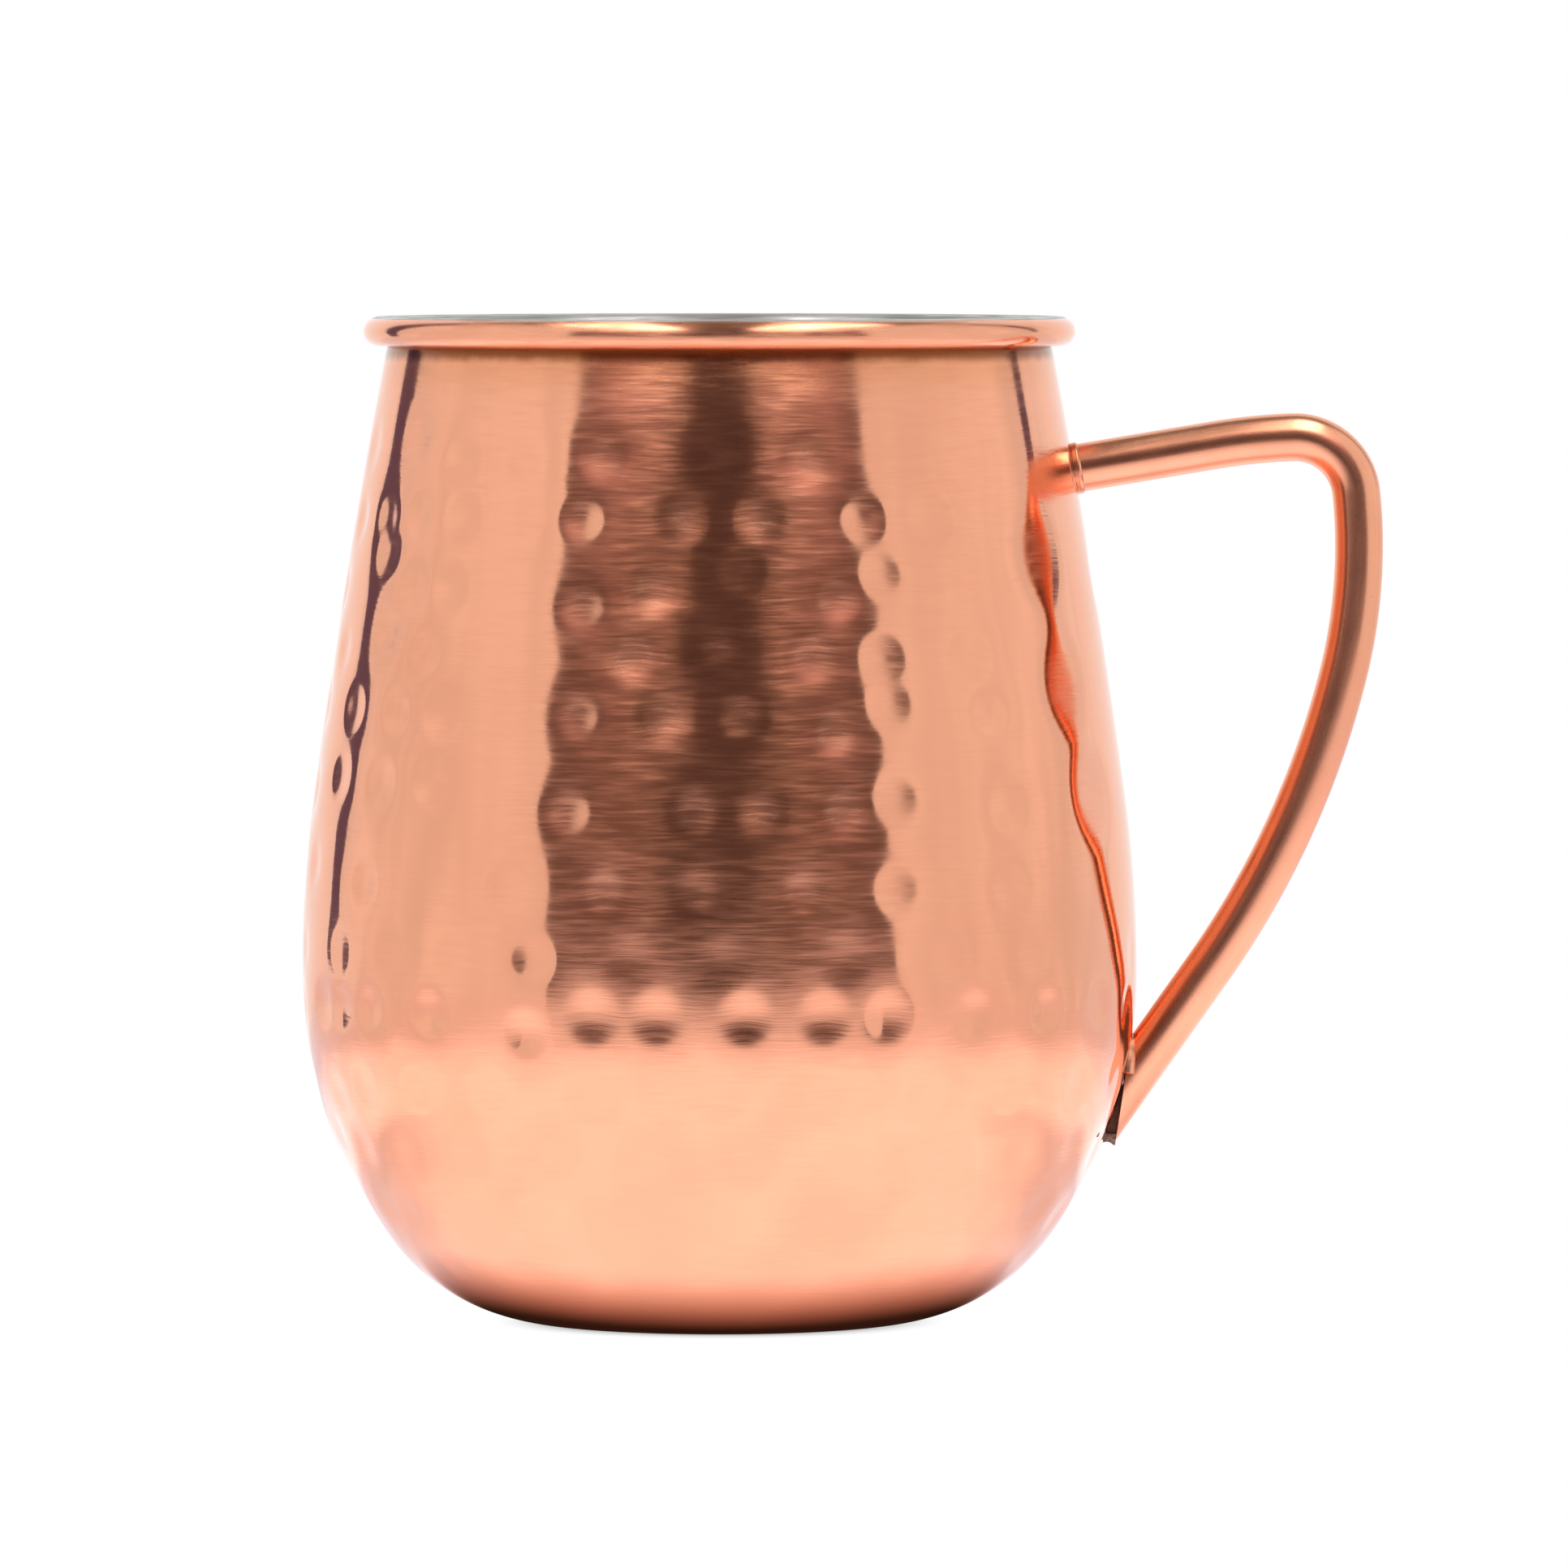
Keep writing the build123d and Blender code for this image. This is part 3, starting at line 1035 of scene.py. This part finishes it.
def brushed_copper():
    """Copper brushed round the mug, duller in the hammer marks and at the neck."""
    material, tree, surface = metal("brushed_copper", COPPER_COLOR, 0.16, COPPER_GRAIN)
    around_the_axis(tree, surface)
    height = parts(tree, object_place(tree))["Z"]
    fine = noise(tree, turned_grain(tree, *FINE_GRAIN), 1.0, 2.0)
    coarse = noise(tree, turned_grain(tree, *COARSE_GRAIN), 1.0, 2.0)
    streaks = average(tree, fine, coarse)
    rough, grain = brushed_finish(tree, streaks, height)
    feed(tree, surface.inputs["Roughness"], rough)
    feed(tree, surface.inputs["Anisotropic"], grain)
    feed(tree, surface.inputs["Base Color"], brushed_color(tree, streaks, height))
    feed(tree, surface.inputs["Normal"], bump(tree, streaks, COPPER_BUMP))
    return material


SCRATCHES = (2600.0, 2600.0, 110.0)
DULL_SPOTS = 240.0
DULL_SPAN = (0.42, 0.68)
DULL_TARNISH = 0.7
SPECKS = 2200.0
SPECK_SPAN = (0.70, 0.78)
SPECK_COLOR = (0.42, 0.16, 0.08)
SPECK_SHARE = 0.45
TUBE_ROUGHNESS = (0.25, 0.31)
SCRATCH_BUMP = 0.0006 * MM
DULL_BUMP = 0.0015 * MM


def drawn_copper():
    """The handle's tube: polished along its length, with faint scratches and dull spots."""
    material, tree, surface = metal("drawn_copper", COPPER_COLOR, 0.22)
    grain = attribute(tree, "grain", "Vector")
    scratches = noise(tree, vector_maths(tree, "MULTIPLY", grain, SCRATCHES), 1.0, 3.0)
    dull = noise(tree, grain, DULL_SPOTS, 2.0)
    rough = streaked_roughness(tree, average(tree, scratches, dull), *TUBE_ROUGHNESS)
    feed(tree, surface.inputs["Roughness"], rough)
    tarnish = smooth_ramp(tree, dull, DULL_SPAN, 0.0, DULL_TARNISH)
    color = color_mix(tree, tarnish, COPPER_COLOR, TARNISH_COLOR)
    speck = smooth_ramp(tree, noise(tree, grain, SPECKS, 2.0), SPECK_SPAN, 0.0, SPECK_SHARE)
    feed(tree, surface.inputs["Base Color"], color_mix(tree, speck, color, SPECK_COLOR))
    normal = bump(tree, dull, DULL_BUMP, bump(tree, scratches, SCRATCH_BUMP))
    feed(tree, surface.inputs["Normal"], normal)
    return material


STEEL_COLOR = (0.60, 0.585, 0.56)
STEEL_LIGHT = (0.56, 0.54, 0.51)
STEEL_DARK = (0.42, 0.40, 0.375)
STEEL_GRAIN = (6.0, 2600.0)
STEEL_ROUGHNESS = (0.20, 0.36)
STEEL_PATCHES = 90.0
STEEL_SPAN = (0.4, 0.62)
STEEL_BUMP = 0.02 * MM
LIP_HEIGHTS = (97 * MM, 101 * MM)
LIP_DULLING = 1.7


def satin_steel():
    """The lining: stainless steel, turned to a satin inside and duller on its lip."""
    material, tree, surface = metal("satin_steel", STEEL_COLOR, 0.28, 0.7)
    around_the_axis(tree, surface)
    place = object_place(tree)
    streaks = noise(tree, turned_grain(tree, *STEEL_GRAIN), 1.0, 3.0)
    rough = streaked_roughness(tree, streaks, *STEEL_ROUGHNESS)
    lip = smooth_ramp(tree, parts(tree, place)["Z"], LIP_HEIGHTS, 1.0, LIP_DULLING)
    feed(tree, surface.inputs["Roughness"], maths(tree, "MULTIPLY", rough, lip))
    patches = average(tree, noise(tree, place, STEEL_PATCHES, 3.0), streaks)
    shade = smooth_ramp(tree, patches, STEEL_SPAN, 0.0, 1.0)
    feed(tree, surface.inputs["Base Color"], color_mix(tree, shade, STEEL_LIGHT, STEEL_DARK))
    feed(tree, surface.inputs["Normal"], bump(tree, streaks, STEEL_BUMP))
    return material


WIRE_COLOR = (0.48, 0.46, 0.44)
WIRE_LIGHT = (0.52, 0.50, 0.48)
WIRE_DARK = (0.36, 0.33, 0.30)
WIRE_SCALE = 900.0
WIRE_SPAN = (0.4, 0.65)
WIRE_ROUGHNESS = (0.32, 0.52)
WIRE_BUMP = 0.03 * MM


def drawn_wire():
    """The steel wire inside the rolled rim, dull from drawing."""
    material, tree, surface = metal("drawn_wire", WIRE_COLOR, 0.4)
    scale = noise(tree, object_place(tree), WIRE_SCALE, 3.0)
    feed(tree, surface.inputs["Roughness"], streaked_roughness(tree, scale, *WIRE_ROUGHNESS))
    shade = smooth_ramp(tree, scale, WIRE_SPAN, 0.0, 1.0)
    feed(tree, surface.inputs["Base Color"], color_mix(tree, shade, WIRE_LIGHT, WIRE_DARK))
    feed(tree, surface.inputs["Normal"], bump(tree, scale, WIRE_BUMP))
    return material


WELD_LIGHT = (0.93, 0.43, 0.26)
WELD_BROWN = (0.50, 0.19, 0.09)
WELD_ROUGHNESS = (0.28, 0.40)
RIPPLES = 900.0
RIPPLE_BUMP = 0.006 * MM
HEAT_PATCHES = 420.0
HEAT_SPAN = (0.46, 0.62)
HEAT_SHARE = 0.75


def weld_copper():
    """The weld metal: copper with ripples, browned here and there by the heat."""
    material, tree, surface = metal("weld_copper", COPPER_COLOR, 0.34)
    place = object_place(tree)
    ripples = noise(tree, place, RIPPLES, 3.0)
    patches = average(tree, noise(tree, place, HEAT_PATCHES, 2.0), ripples)
    rough = streaked_roughness(tree, ripples, *WELD_ROUGHNESS)
    feed(tree, surface.inputs["Roughness"], rough)
    heat = smooth_ramp(tree, patches, HEAT_SPAN, 0.0, HEAT_SHARE)
    feed(tree, surface.inputs["Base Color"], color_mix(tree, heat, WELD_LIGHT, WELD_BROWN))
    feed(tree, surface.inputs["Normal"], bump(tree, ripples, RIPPLE_BUMP))
    return material


BRAZE_COLOR = (0.40, 0.29, 0.21)
BRAZE_PIT_COLOR = (0.10, 0.055, 0.035)
# Painted shade, nearly black up in the joint between the tube and the wall.
BRAZE_ROOT_SHADE_COLOR = (0.12, 0.045, 0.022)
BRAZE_ROOT_SHADE_HEIGHTS = (18.5 * MM, 20.0 * MM)
BRAZE_METALLIC = 0.4
BRAZE_ROUGHNESS = (0.40, 0.62)
PITS = 1700.0
PIT_SPAN = (0.42, 0.62)
PIT_BUMP = 0.05 * MM


def burnt_braze():
    """The braze at the handle's tip: dull and pitted, with shade painted nearly black up in the
    joint.
    """
    material, tree, surface = metal("burnt_braze", BRAZE_COLOR, 0.5)
    surface.inputs["Metallic"].default_value = BRAZE_METALLIC
    place = object_place(tree)
    pits = noise(tree, place, PITS, 4.0, 0.65)
    rough = streaked_roughness(tree, pits, *BRAZE_ROUGHNESS)
    feed(tree, surface.inputs["Roughness"], rough)
    shade = smooth_ramp(tree, pits, PIT_SPAN, 0.0, 1.0)
    color = color_mix(tree, shade, BRAZE_COLOR, BRAZE_PIT_COLOR)
    # Painted shade: nearly black higher up, deep in the joint.
    root = smooth_ramp(tree, parts(tree, place)["Z"], BRAZE_ROOT_SHADE_HEIGHTS, 0.0, 1.0)
    feed(tree, surface.inputs["Base Color"], color_mix(tree, root, color, BRAZE_ROOT_SHADE_COLOR))
    feed(tree, surface.inputs["Normal"], bump(tree, pits, PIT_BUMP))
    return material


# ---------------------------------------------------------------- the scene


def dress(piece, material, node):
    """Gives a piece its material and its body, and hides the CAD node that it stands for."""
    piece.data.materials.clear()
    piece.data.materials.append(material)
    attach(piece, "root")
    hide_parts(node)


bpy.context.scene.view_settings.view_transform = "Standard"
bpy.context.scene.view_settings.look = "None"

add_camera()
add_tent()
add_floor()
add_world()

weld = weld_copper()
dress(hammered_shell(), brushed_copper(), "outer_shell")
dress(lining(), satin_steel(), "inner_liner")
dress(handle(), drawn_copper(), "handle_tube")
dress(upper_weld(), weld, "handle_weld_upper")

# The other pieces are the CAD's own.
carried = {
    "handle_weld_lower": weld,
    "handle_tip_braze": burnt_braze(),
    "rim_wire": drawn_wire(),
}
for node, material in carried.items():
    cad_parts[node].data.materials.clear()
    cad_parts[node].data.materials.append(material)
